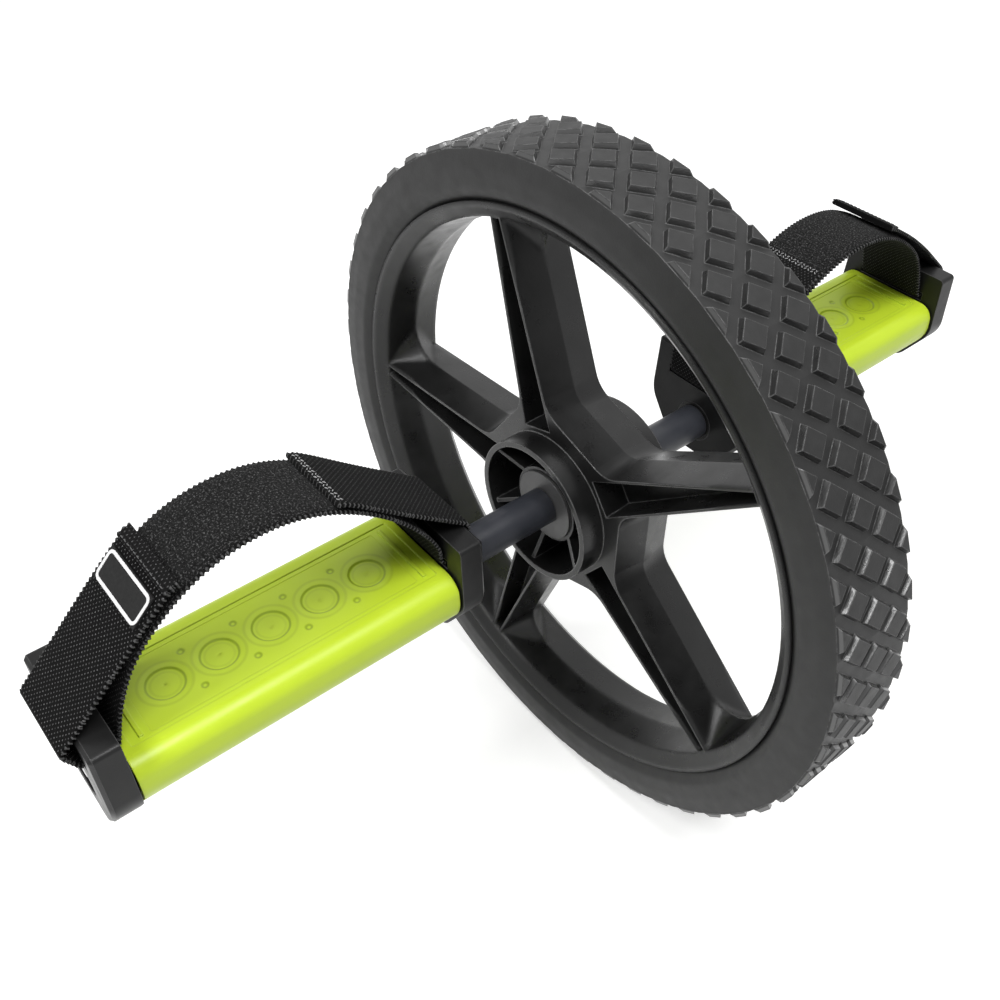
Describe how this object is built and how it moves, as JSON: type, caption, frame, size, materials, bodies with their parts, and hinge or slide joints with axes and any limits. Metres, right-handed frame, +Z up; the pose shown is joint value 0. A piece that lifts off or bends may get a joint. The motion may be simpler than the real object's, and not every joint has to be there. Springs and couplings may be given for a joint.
{
  "type": "ab wheel roller",
  "caption": "Exercise roller with a large treaded wheel turning on a through axle, and a ringed grip pedal with a hook-and-loop foot strap turning at each end.",
  "frame": {"origin": "centre of the wheel on the axle's line, at the wheel's middle plane", "axes": "+Y along the axle towards the left pedal, +Z up through the straps with the grips level, +X forwards in the rolling direction"},
  "size_m": [0.3562, 0.5404, 0.3562],
  "materials": {
    "steel": "zinc plated",
    "sleeve_paint": "satin",
    "rim_plastic": "moulded satin",
    "tyre_rubber": "matt",
    "bush_nylon": "satin",
    "grip_rubber": "soft satin",
    "cap_plastic": "fine moulded grain",
    "webbing": "woven",
    "patch_rubber": "matt with a pale border"
  },
  "bodies": {
    "axle": {"axle_shaft": "steel", "spacer_sleeves": "sleeve_paint", "end_washers": "steel", "end_nuts": "steel"},
    "wheel": {"wheel_rim": "rim_plastic", "tyre": "tyre_rubber", "hub_bushes": "bush_nylon"},
    "pedal_left": {"grip_left": "grip_rubber", "pedal_core_left": "cap_plastic", "inner_cap_left": "cap_plastic", "outer_cap_left": "cap_plastic", "strap_loop_left": "webbing", "strap_return_left": "webbing", "strap_flap_left": "webbing"},
    "pedal_right": {"grip_right": "grip_rubber", "pedal_core_right": "cap_plastic", "inner_cap_right": "cap_plastic", "outer_cap_right": "cap_plastic", "strap_loop_right": "webbing", "strap_return_right": "webbing", "strap_flap_right": "webbing", "label_patch": "patch_rubber"}
  },
  "joints": [
    {"name": "wheel_spin", "type": "hinge", "parent": "axle", "child": "wheel", "pos_m": [0, 0, 0], "axis": [0, 1, 0], "continuous": true},
    {"name": "pedal_left_turn", "type": "hinge", "parent": "axle", "child": "pedal_left", "pos_m": [0, 0.174, 0], "axis": [0, 1, 0], "continuous": true},
    {"name": "pedal_right_turn", "type": "hinge", "parent": "axle", "child": "pedal_right", "pos_m": [0, -0.174, 0], "axis": [0, 1, 0], "continuous": true}
  ]
}
